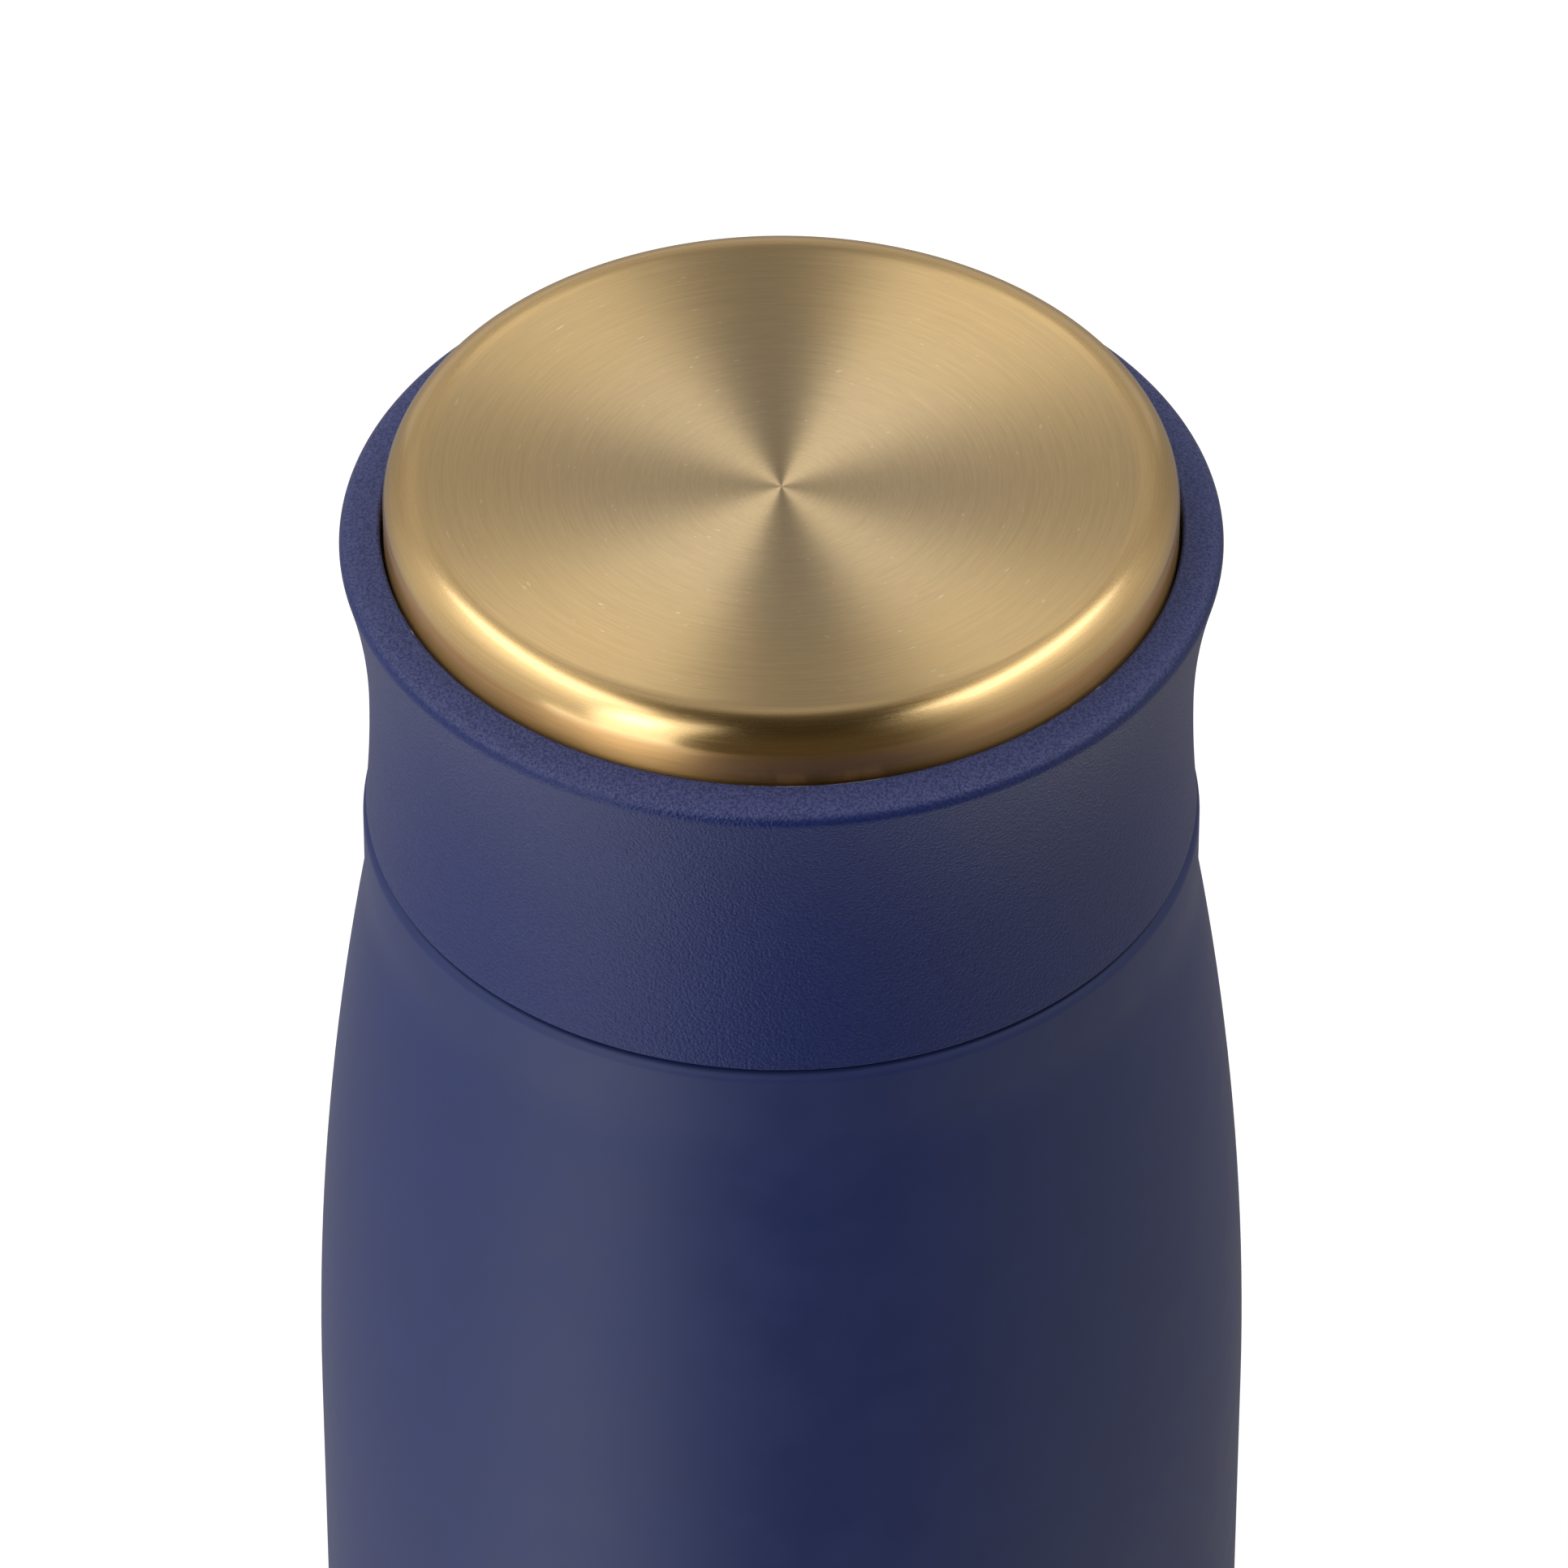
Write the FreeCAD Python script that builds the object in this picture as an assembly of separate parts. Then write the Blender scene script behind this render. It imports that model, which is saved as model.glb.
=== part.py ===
"""Vacuum-insulated steel water bottle with a screw lid that carries a dished brass-coloured plate.

Millimetres. +Z is up along the bottle's axis, and the origin is the middle of the base pad's
underside, on the surface that the bottle stands on. Nearly every piece is a body of revolution.
Its section is a path of (radius, height, bend radius) corners, which rounded_path turns into
straight runs joined by tangent arcs.
"""
import FreeCAD
import Part

import math
import os

# ---- overall sizes -------------------------------------------------------------------------
HEIGHT = 215.0              # standing surface to the crest of the lid plate
BODY_RADIUS = 36.5          # straight part of the body
NECK_RADIUS = 26.0          # outside of the neck, at the root of the thread; sets the lid's width
LID_HEIGHT = 31.8           # crest of the lid plate to the lower edge of the lid collar
THROAT_LENGTH = 5.2         # straight part of the body under the seam
THROAT_BEND = 25.0          # concave curve under that
SHOULDER_LENGTH = 54.7      # that curve and the long convex one, along the axis
SEAM_GAP = 0.3              # open gap between the lid collar and the body
SEAM_STEP = 0.25            # how far the body stands proud of the collar at the seam

# ---- steel walls ---------------------------------------------------------------------------
SHELL_WALL = 0.5            # outer shell
FLASK_WALL = 0.4            # inner flask
VACUUM_GAP = 2.9            # between the outer shell and the inner flask
BASE_VACUUM_GAP = 5.6       # between the base disc and the inner flask
BODY_FOOT_BEND = 4.0        # outer shell, lower corner
SEAM_BEND = 0.8             # outer shell, corner at the seam
FOOT_FLANGE_WIDTH = 5.8     # outer shell, turned in under the base disc

# ---- neck and mouth ------------------------------------------------------------------------
NECK_VACUUM_GAP = 1.0
MOUTH_BELOW_CREST = 14.0    # crest of the lid plate to the top of the mouth lip
FLASK_SHOULDER_HEIGHT = 14.0    # the inner flask's sloping shoulder, below the neck
FLASK_SHOULDER_DROP = 6.0       # seam ledge to the top of that shoulder
FLASK_SHOULDER_BEND = 8.0
FLASK_FOOT_BEND = 7.0
FLASK_PUNT_RADIUS = 19.0        # raised middle of the inner flask's bottom
FLASK_PUNT_SLOPE = 5.0
FLASK_PUNT_HEIGHT = 1.5

# ---- screw thread --------------------------------------------------------------------------
THREAD_PITCH = 4.5
THREAD_DEPTH = 1.0
THREAD_ROOT_WIDTH = 1.9
THREAD_CREST_WIDTH = 1.1
THREAD_SINK = 0.12          # how far a ridge's root is buried in its wall
THREAD_CLEARANCE = 0.3      # crest to root, both ways
THREAD_FLANK_GAP = 0.3
NECK_THREAD_TURNS = 1.75
LINER_THREAD_TURNS = 1.5
NECK_THREAD_ABOVE_LEDGE = 4.6

# ---- base ----------------------------------------------------------------------------------
PAD_STANDOFF = 0.8          # the rubber pad stands this far below the steel
PAD_THICKNESS = 2.8
PAD_INSET = 8.2             # body's outside to the pad's edge
PAD_SIDE_GAP = 0.3
PAD_EDGE = 0.6
PAD_GROOVE_WIDTH = 1.2
PAD_GROOVE_DEPTH = 0.5
PAD_GROOVE_EDGE = 0.1
PAD_GROOVE_BEND = 0.2
PAD_GROOVE_INSETS = (11.3, 3.8)     # pad's edge to the middle of each groove
BASE_WALL = 0.6
BASE_FLANGE_GAP = 0.3       # base disc's edge to the shell's lower bend
BASE_SLOPE = 0.5            # side of each pressed step, across
BASE_BEND = 0.3
DIMPLE_RADIUS = 3.2
DIMPLE_DEPTH = 0.9
SEAL_RADIUS = 2.3
SEAL_EDGE = 0.25
SEAL_PAD_GAP = 0.1          # solder bead to the rubber pad
GETTER_RADIUS = 5.0
GETTER_OFFSET = 15.0
GETTER_TRAY_HEIGHT = 2.0
GETTER_TRAY_WALL = 0.3
GETTER_TRAY_BEND = 0.6
GETTER_PILL_THICKNESS = 1.3
GETTER_PILL_GAP = 0.3
GETTER_PILL_EDGE = 0.3

# ---- copper foil ---------------------------------------------------------------------------
FOIL_THICKNESS = 0.2
FOIL_GAP = 0.05
FOIL_LOW = 22.0
FOIL_BELOW_SHOULDER = 4.0

# ---- lid plate -----------------------------------------------------------------------------
PLATE_WALL = 0.6
PLATE_SHOULDER = 2.5        # outside bend between the top and the skirt
PLATE_DISH = 1.4            # the middle lies this far below the crest
PLATE_SKIRT = 6.3           # crest to the skirt's lower edge
PLATE_SIDE_GAP = 0.25       # skirt to the collar's recess
TAPE_INSET = 7.0            # deck's edge to the tape's
TAPE_THICKNESS = 0.5
TAPE_GAP = 0.03             # tape to the dished underside

# ---- lid collar ----------------------------------------------------------------------------
RIM_FLARE = 1.95            # waist to the outermost line of the rim
RIM_WIDTH = 3.1             # recess to that line
RIM_DROP = 6.2              # crest of the plate to that line
RIM_LIP = 0.85              # rounding of the lip
RIM_TOP_DROP = 4.7          # crest of the plate to the inner edge of the rim
RIM_INNER_EDGE = 0.25
WAIST_WALL = 2.0            # collar's wall at its waist
WAIST_DROP = 21.4           # crest of the plate to the waist
COLLAR_FOOT_FLARE = 0.45    # waist to the collar's foot
COLLAR_FOOT_EDGE = 0.3
RECESS_DROP = 6.6           # crest of the plate to the recess floor
COLLAR_WALL = 1.6           # recess floor and deck
DECK_SIDE_GAP = 0.3         # deck to the inside of the skirt
DECK_CORNER = 1.6
DECK_INNER_BEND = 1.0
RECESS_BEND = 0.1
BORE_BEND = 0.6             # top of the collar's bore
SNAP_BEAD_HEIGHT = 0.8
SNAP_BEAD_REACH = 0.5
SNAP_BEAD_ABOVE_FOOT = 0.4
SNAP_BEAD_EDGE = 0.1

# ---- lid liner, stopper, gasket, insulation --------------------------------------------------
LINER_WALL = 1.8
LINER_SIDE_GAP = 0.2        # liner to the collar's bore
LINER_CEILING = 1.6
LINER_TOP_GAP = 0.2
LINER_FOOT_GAP = 0.2        # liner's lower edge to the snap bead
LINER_CORNER = 0.6          # ceiling to bore
LINER_EDGE = 0.4
LINER_FOOT_EDGE = 0.2       # where the thread starts
GASKET_THICKNESS = 2.0
GASKET_SIDE_GAP = 0.4
GASKET_TOP_GAP = 0.05
GASKET_EDGE = 0.5
STOPPER_SIDE_GAP = 1.8      # stopper to the inside of the neck
STOPPER_WALL = 1.4
STOPPER_DEPTH = 10.0
STOPPER_CORNER = 3.0
BEAD_REACH = 1.1            # bead that holds the gasket on the stopper
BEAD_HEIGHT = 1.0
BEAD_GAP = 0.3
BEAD_EDGE = 0.4
BEAD_BEND = 0.2
FOAM_GAP = 0.3
STOPPER_FOAM_EDGE = 2.0
LID_FOAM_EDGE = 1.2

# ---- levels worked out from the sizes above --------------------------------------------------
LID_FOOT = HEIGHT - LID_HEIGHT
LEDGE = LID_FOOT - SEAM_GAP
MOUTH = HEIGHT - MOUTH_BELOW_CREST
NECK_TOP = MOUTH - FLASK_WALL
LINER_BORE = NECK_RADIUS + THREAD_DEPTH + THREAD_CLEARANCE
LINER_RADIUS = LINER_BORE + LINER_WALL
COLLAR_BORE = LINER_RADIUS + LINER_SIDE_GAP
WAIST_RADIUS = COLLAR_BORE + WAIST_WALL
COLLAR_FOOT_RADIUS = WAIST_RADIUS + COLLAR_FOOT_FLARE
RIM_RADIUS = WAIST_RADIUS + RIM_FLARE
RECESS_RADIUS = RIM_RADIUS - RIM_WIDTH
PLATE_RADIUS = RECESS_RADIUS - PLATE_SIDE_GAP
THROAT_RADIUS = COLLAR_FOOT_RADIUS + SEAM_STEP
SHOULDER_TOP = LEDGE - THROAT_LENGTH
SHOULDER_START = SHOULDER_TOP - SHOULDER_LENGTH
PLATE_UNDERSIDE = HEIGHT - PLATE_DISH - PLATE_WALL
DECK_TOP = PLATE_UNDERSIDE - TAPE_THICKNESS
DECK_UNDERSIDE = DECK_TOP - COLLAR_WALL
RECESS_FLOOR = HEIGHT - RECESS_DROP
RECESS_UNDERSIDE = RECESS_FLOOR - COLLAR_WALL
DECK_RADIUS = PLATE_RADIUS - PLATE_WALL - DECK_SIDE_GAP
GASKET_TOP = MOUTH + GASKET_THICKNESS
CEILING_UNDERSIDE = GASKET_TOP + GASKET_TOP_GAP
CEILING_TOP = CEILING_UNDERSIDE + LINER_CEILING
BASE_RECESS = PAD_THICKNESS
PAD_RADIUS = BODY_RADIUS - PAD_INSET
BASE_FLANGE_RADIUS = BODY_RADIUS - BODY_FOOT_BEND - BASE_FLANGE_GAP
BASE_TOP = BASE_RECESS + BASE_WALL
FLASK_BOTTOM = BASE_TOP + BASE_VACUUM_GAP
FLASK_RADIUS = BODY_RADIUS - SHELL_WALL - VACUUM_GAP
FLASK_NECK_RADIUS = NECK_RADIUS - SHELL_WALL - NECK_VACUUM_GAP
MOUTH_RADIUS = FLASK_NECK_RADIUS - FLASK_WALL
STOPPER_RADIUS = MOUTH_RADIUS - STOPPER_SIDE_GAP
TAPE_RADIUS = DECK_RADIUS - TAPE_INSET
LINER_FOOT = LID_FOOT + SNAP_BEAD_ABOVE_FOOT + SNAP_BEAD_HEIGHT + LINER_FOOT_GAP

AXIS_POINT = FreeCAD.Vector(0, 0, 0)
AXIS = FreeCAD.Vector(0, 0, 1)
TINY = 1e-6


# ---- geometry helpers ------------------------------------------------------------------------
def at(radius, height):
    """Point of a section, in the XZ plane."""
    return FreeCAD.Vector(radius, 0, height)


def line(start, end):
    """Straight edge, or nothing where the two ends meet."""
    if start.distanceToPoint(end) < TINY:
        return []
    return [Part.makeLine(start, end)]


def rounded_path(corners):
    """Edges through (radius, height, bend) corners, each bend an arc tangent to both runs."""
    edges = []
    here = at(*corners[0][:2])
    for before, corner, after in zip(corners, corners[1:], corners[2:]):
        tip = at(*corner[:2])
        if corner[2] < TINY:
            edges += line(here, tip)
            here = tip
            continue
        back = (at(*before[:2]) - tip).normalize()
        onward = (at(*after[:2]) - tip).normalize()
        half_angle = back.getAngle(onward) / 2
        reach = corner[2] / math.tan(half_angle)
        inwards = (back + onward).normalize()
        middle = tip + inwards * (corner[2] / math.sin(half_angle) - corner[2])
        arc_start = tip + back * reach
        arc_end = tip + onward * reach
        edges += line(here, arc_start)
        edges.append(Part.Arc(arc_start, middle, arc_end).toShape())
        here = arc_end
    edges += line(here, at(*corners[-1][:2]))
    return edges


def moved_left(corners, wall):
    """The same path moved sideways by wall, to the left of its travel, with its bends following."""
    runs = []
    for start, end in zip(corners, corners[1:]):
        length = math.hypot(end[0] - start[0], end[1] - start[1])
        runs.append(((end[0] - start[0]) / length, (end[1] - start[1]) / length))
    moved = [(corners[0][0] - runs[0][1] * wall, corners[0][1] + runs[0][0] * wall, 0)]
    for corner, first, second in zip(corners[1:], runs, runs[1:]):
        turn = first[0] * second[1] - first[1] * second[0]
        shift = wall * (1 - (first[0] * second[0] + first[1] * second[1])) / turn
        radius = corner[0] - first[1] * wall - first[0] * shift
        height = corner[1] + first[0] * wall - first[1] * shift
        bend = corner[2] - math.copysign(wall, turn) if corner[2] else 0
        moved.append((radius, height, max(bend, 0)))
    last = corners[-1]
    moved.append((last[0] - runs[-1][1] * wall, last[1] + runs[-1][0] * wall, 0))
    return moved


def turned(edges):
    """Solid of revolution of a closed section, given as edges in order."""
    solid = Part.Face(Part.Wire(edges)).revolve(AXIS_POINT, AXIS, 360)
    return solid if solid.Volume > 0 else solid.reversed()


def closed(corners):
    """Closed section through (radius, height, bend) corners, from and back to a sharp first one."""
    return rounded_path(list(corners) + [corners[0]])


def turned_solid(corners):
    """Solid of revolution of a closed section through rounded corners."""
    return turned(closed(corners))


def turned_sheet(corners, wall):
    """Pressed sheet of revolution, wall thick, to the left of the path's travel."""
    other = moved_left(corners, wall)
    near_side = rounded_path(corners)
    far_side = rounded_path(other[::-1])
    joins = line(at(*corners[-1][:2]), at(*other[-1][:2]))
    closing = line(at(*other[0][:2]), at(*corners[0][:2]))
    return turned(near_side + joins + far_side + closing)


def ring(inner, outer, low, high, edge=0.0):
    """Flat ring with its four corners rounded by edge."""
    middle = (inner + outer) / 2
    return turned_solid([(middle, low, 0), (outer, low, edge), (outer, high, edge),
                         (inner, high, edge), (inner, low, edge)])


def disc(radius, low, high, edge=0.0):
    """Flat disc with its rim rounded by edge."""
    return turned_solid([(0, low, 0), (radius, low, edge), (radius, high, edge), (0, high, 0)])


def thread_ridge(wall_radius, outwards, turns, start_height):
    """Helical ridge on a wall: outwards is +1 on a neck and -1 in a bore."""
    root = wall_radius - outwards * THREAD_SINK
    crest = wall_radius + outwards * THREAD_DEPTH
    half_root = THREAD_ROOT_WIDTH / 2
    half_crest = THREAD_CREST_WIDTH / 2
    root_low = at(root, start_height - half_root)
    section = Part.makePolygon([root_low, at(crest, start_height - half_crest),
                                at(crest, start_height + half_crest),
                                at(root, start_height + half_root), root_low])
    helix = Part.makeHelix(THREAD_PITCH, THREAD_PITCH * turns, wall_radius)
    helix.translate(at(0, start_height))
    return Part.Wire(helix).makePipeShell([section], True, True)


def flare(reach, drop):
    """Radius and angle of the arc that drifts sideways by reach over a length of drop."""
    radius = (reach ** 2 + drop ** 2) / (2 * reach)
    return radius, math.asin(drop / radius)


# ---- bottle ----------------------------------------------------------------------------------
def shoulder_bends():
    """Radius of the long convex curve, and the angle that it and the throat's curve turn."""
    spread, turn = flare(abs(BODY_RADIUS - THROAT_RADIUS), SHOULDER_LENGTH)
    return spread - THROAT_BEND, turn


def neck_thread():
    return thread_ridge(NECK_RADIUS, 1, NECK_THREAD_TURNS, LEDGE + NECK_THREAD_ABOVE_LEDGE)


def outer_shell():
    foot = PAD_STANDOFF
    convex, turn = shoulder_bends()
    path = [(BODY_RADIUS - FOOT_FLANGE_WIDTH, foot, 0), (BODY_RADIUS, foot, BODY_FOOT_BEND),
            (BODY_RADIUS, SHOULDER_START + convex * math.tan(turn / 2), convex),
            (THROAT_RADIUS, SHOULDER_TOP - THROAT_BEND * math.tan(turn / 2), THROAT_BEND),
            (THROAT_RADIUS, LEDGE, SEAM_BEND), (NECK_RADIUS, LEDGE, SEAM_BEND),
            (NECK_RADIUS, NECK_TOP, 0)]
    return turned_sheet(path, SHELL_WALL).fuse(neck_thread())


def flask_shoulder():
    """Corners of the long curve, which keeps VACUUM_GAP to the shell, and of the neck's slope."""
    inwards = math.copysign(1, BODY_RADIUS - THROAT_RADIUS)
    bend = shoulder_bends()[0] - inwards * (SHELL_WALL + VACUUM_GAP)
    foot = LEDGE - FLASK_SHOULDER_DROP - FLASK_SHOULDER_HEIGHT
    turn = math.asin((foot - SHOULDER_START) / bend)
    wide = FLASK_RADIUS - inwards * bend * (1 - math.cos(turn))
    lead = FLASK_SHOULDER_BEND / 2
    long_curve = (FLASK_RADIUS, SHOULDER_START + bend * math.tan(turn / 2), bend)
    slope_radius = wide - inwards * lead * math.sin(turn)
    return [long_curve, (slope_radius, foot + lead * math.cos(turn), FLASK_SHOULDER_BEND)]


def inner_flask():
    punt_top = FLASK_BOTTOM + FLASK_PUNT_HEIGHT
    path = [(0, punt_top, 0), (FLASK_PUNT_RADIUS - FLASK_PUNT_SLOPE, punt_top, FLASK_FOOT_BEND),
            (FLASK_PUNT_RADIUS, FLASK_BOTTOM, FLASK_FOOT_BEND),
            (FLASK_RADIUS, FLASK_BOTTOM, FLASK_FOOT_BEND)]
    path += flask_shoulder()
    path += [(FLASK_NECK_RADIUS, LEDGE - FLASK_SHOULDER_DROP, FLASK_SHOULDER_BEND),
             (FLASK_NECK_RADIUS, NECK_TOP, FLASK_WALL), (NECK_RADIUS, NECK_TOP, 0)]
    return turned_sheet(path, FLASK_WALL)


def copper_foil():
    inner = FLASK_RADIUS + FOIL_GAP
    return ring(inner, inner + FOIL_THICKNESS, FOIL_LOW, SHOULDER_START - FOIL_BELOW_SHOULDER)


def outer_base():
    flange = PAD_STANDOFF + SHELL_WALL
    recess = PAD_RADIUS + PAD_SIDE_GAP
    dimple = BASE_RECESS + DIMPLE_DEPTH
    path = [(0, dimple, 0), (DIMPLE_RADIUS, dimple, BASE_BEND),
            (DIMPLE_RADIUS + BASE_SLOPE, BASE_RECESS, BASE_BEND),
            (recess, BASE_RECESS, BASE_BEND), (recess + BASE_SLOPE, flange, BASE_BEND),
            (BASE_FLANGE_RADIUS, flange, 0)]
    return turned_sheet(path, BASE_WALL)


def vacuum_seal():
    return disc(SEAL_RADIUS, BASE_RECESS + SEAL_PAD_GAP, BASE_RECESS + DIMPLE_DEPTH, SEAL_EDGE)


def getter_tray():
    path = [(0, BASE_TOP, 0), (GETTER_RADIUS, BASE_TOP, GETTER_TRAY_BEND),
            (GETTER_RADIUS, BASE_TOP + GETTER_TRAY_HEIGHT, 0)]
    tray = turned_sheet(path, GETTER_TRAY_WALL)
    tray.translate(FreeCAD.Vector(GETTER_OFFSET, 0, 0))
    return tray


def getter_pill():
    low = BASE_TOP + GETTER_TRAY_WALL
    radius = GETTER_RADIUS - GETTER_TRAY_WALL - GETTER_PILL_GAP
    pill = disc(radius, low, low + GETTER_PILL_THICKNESS, GETTER_PILL_EDGE)
    pill.translate(FreeCAD.Vector(GETTER_OFFSET, 0, 0))
    return pill


def base_pad():
    corners = [(0, 0, 0)]
    for inset in PAD_GROOVE_INSETS:
        inner = PAD_RADIUS - inset - PAD_GROOVE_WIDTH / 2
        outer = inner + PAD_GROOVE_WIDTH
        corners += [(inner, 0, PAD_GROOVE_EDGE), (inner, PAD_GROOVE_DEPTH, PAD_GROOVE_BEND),
                    (outer, PAD_GROOVE_DEPTH, PAD_GROOVE_BEND), (outer, 0, PAD_GROOVE_EDGE)]
    corners += [(PAD_RADIUS, 0, PAD_EDGE), (PAD_RADIUS, PAD_THICKNESS, PAD_EDGE / 2),
                (0, PAD_THICKNESS, 0)]
    return turned_solid(corners)


# ---- lid ---------------------------------------------------------------------------------------
def plate_side(inset):
    """Plate outline from the middle to the skirt's foot, moved inwards by inset."""
    crest_radius = PLATE_RADIUS - PLATE_SHOULDER
    spread, tilt = flare(PLATE_DISH, crest_radius)
    dish = spread - PLATE_SHOULDER + inset
    bend = PLATE_SHOULDER - inset
    dish_centre = HEIGHT - PLATE_DISH + dish - inset
    bend_centre = HEIGHT - PLATE_SHOULDER

    def on_dish(angle):
        return at(dish * math.sin(angle), dish_centre - dish * math.cos(angle))

    def on_bend(angle):
        return at(crest_radius + bend * math.sin(angle), bend_centre + bend * math.cos(angle))

    side = math.pi / 2
    top = Part.Arc(on_dish(0), on_dish(tilt / 2), on_dish(tilt)).toShape()
    shoulder = Part.Arc(on_bend(-tilt), on_bend(side / 2), on_bend(side)).toShape()
    return [top, shoulder] + line(on_bend(side), at(PLATE_RADIUS - inset, HEIGHT - PLATE_SKIRT))


def lid_plate():
    outside = plate_side(0)
    inside = plate_side(PLATE_WALL)
    foot = HEIGHT - PLATE_SKIRT
    joins = line(at(PLATE_RADIUS, foot), at(PLATE_RADIUS - PLATE_WALL, foot))
    closing = line(at(0, PLATE_UNDERSIDE), at(0, HEIGHT - PLATE_DISH))
    return turned(outside + joins + inside[::-1] + closing)


def plate_tape():
    spread = flare(PLATE_DISH, PLATE_RADIUS - PLATE_SHOULDER)[0]
    dish = spread - PLATE_SHOULDER + PLATE_WALL
    top = PLATE_UNDERSIDE - TAPE_GAP

    def on_top(radius):
        return at(radius, top + dish - math.sqrt(dish ** 2 - radius ** 2))

    upper = Part.Arc(on_top(0), on_top(TAPE_RADIUS / 2), on_top(TAPE_RADIUS)).toShape()
    side = line(on_top(TAPE_RADIUS), at(TAPE_RADIUS, DECK_TOP))
    lower = line(at(TAPE_RADIUS, DECK_TOP), at(0, DECK_TOP))
    return turned([upper] + side + lower + line(at(0, DECK_TOP), on_top(0)))


def collar_outside():
    """Outer outline of the collar, from the start of the rim's lip down to the foot's edge."""
    run = RIM_RADIUS - RIM_LIP - RECESS_RADIUS
    drop = RIM_DROP - RIM_TOP_DROP
    slope = math.atan2(drop, run) - math.asin(RIM_LIP / math.hypot(run, drop))
    lip_height = HEIGHT - RIM_DROP
    waist_height = HEIGHT - WAIST_DROP
    foot = LID_FOOT + COLLAR_FOOT_EDGE
    upper, upper_angle = flare(RIM_FLARE, lip_height - waist_height)
    upper -= RIM_LIP
    lower, lower_angle = flare(COLLAR_FOOT_FLARE, waist_height - foot)

    def on_lip(angle):
        return at(RIM_RADIUS - RIM_LIP * (1 - math.cos(angle)),
                  lip_height + RIM_LIP * math.sin(angle))

    def on_upper(angle):
        return at(WAIST_RADIUS + upper * (1 - math.cos(angle)),
                  waist_height + upper * math.sin(angle))

    def on_lower(angle):
        return at(WAIST_RADIUS + lower * (1 - math.cos(angle)),
                  waist_height - lower * math.sin(angle))

    lip = Part.Arc(on_lip(math.pi / 2 - slope), on_lip(0), on_lip(-upper_angle)).toShape()
    upper_flare = Part.Arc(on_upper(upper_angle), on_upper(upper_angle / 2), on_upper(0)).toShape()
    lower_flare = Part.Arc(on_lower(0), on_lower(lower_angle / 2), on_lower(lower_angle)).toShape()
    return [lip, upper_flare, lower_flare]


def lid_collar():
    outside = collar_outside()
    lip_start = outside[0].Vertexes[0].Point
    bead_low = LID_FOOT + SNAP_BEAD_ABOVE_FOOT
    bead_high = bead_low + SNAP_BEAD_HEIGHT
    bead_slope = SNAP_BEAD_HEIGHT / 3
    bead_bore = COLLAR_BORE - SNAP_BEAD_REACH
    deck_inner = DECK_RADIUS - COLLAR_WALL
    inside = [(COLLAR_FOOT_RADIUS, LID_FOOT + COLLAR_FOOT_EDGE, 0),
              (COLLAR_FOOT_RADIUS, LID_FOOT, COLLAR_FOOT_EDGE),
              (COLLAR_BORE, LID_FOOT, COLLAR_FOOT_EDGE),
              (COLLAR_BORE, bead_low, 0), (bead_bore, bead_low + bead_slope, SNAP_BEAD_EDGE),
              (bead_bore, bead_high - bead_slope, SNAP_BEAD_EDGE), (COLLAR_BORE, bead_high, 0),
              (COLLAR_BORE, RECESS_UNDERSIDE, BORE_BEND), (deck_inner, RECESS_UNDERSIDE, BORE_BEND),
              (deck_inner, DECK_UNDERSIDE, DECK_INNER_BEND), (0, DECK_UNDERSIDE, 0)]
    recess = [(0, DECK_TOP, 0), (DECK_RADIUS, DECK_TOP, DECK_CORNER),
              (DECK_RADIUS, RECESS_FLOOR, RECESS_BEND), (RECESS_RADIUS, RECESS_FLOOR, RECESS_BEND),
              (RECESS_RADIUS, HEIGHT - RIM_TOP_DROP, RIM_INNER_EDGE),
              (lip_start.x, lip_start.z, 0)]
    axis_side = line(at(0, DECK_UNDERSIDE), at(0, DECK_TOP))
    return turned(rounded_path(recess) + outside + rounded_path(inside) + axis_side)


def liner_thread():
    """Ridge that runs just under the neck's, with the flank gap between them."""
    shared_width = (THREAD_ROOT_WIDTH + THREAD_CREST_WIDTH) / 2
    narrowing = (THREAD_ROOT_WIDTH - THREAD_CREST_WIDTH) / (2 * THREAD_DEPTH)
    spacing = shared_width - narrowing * THREAD_CLEARANCE + THREAD_FLANK_GAP
    start = LEDGE + NECK_THREAD_ABOVE_LEDGE - spacing
    return thread_ridge(LINER_BORE, -1, LINER_THREAD_TURNS, start)


def lid_liner():
    top = RECESS_UNDERSIDE - LINER_TOP_GAP
    corners = [(0, CEILING_UNDERSIDE, 0), (LINER_BORE, CEILING_UNDERSIDE, LINER_CORNER),
               (LINER_BORE, LINER_FOOT, LINER_FOOT_EDGE), (LINER_RADIUS, LINER_FOOT, LINER_EDGE),
               (LINER_RADIUS, top, LINER_EDGE), (LINER_BORE, top, LINER_EDGE),
               (LINER_BORE, CEILING_TOP, LINER_CORNER), (0, CEILING_TOP, 0)]
    return turned_solid(corners).fuse(liner_thread())


def lid_gasket():
    inner = STOPPER_RADIUS + GASKET_SIDE_GAP
    outer = LINER_BORE - GASKET_SIDE_GAP
    return ring(inner, outer, MOUTH, GASKET_TOP, GASKET_EDGE)


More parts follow.
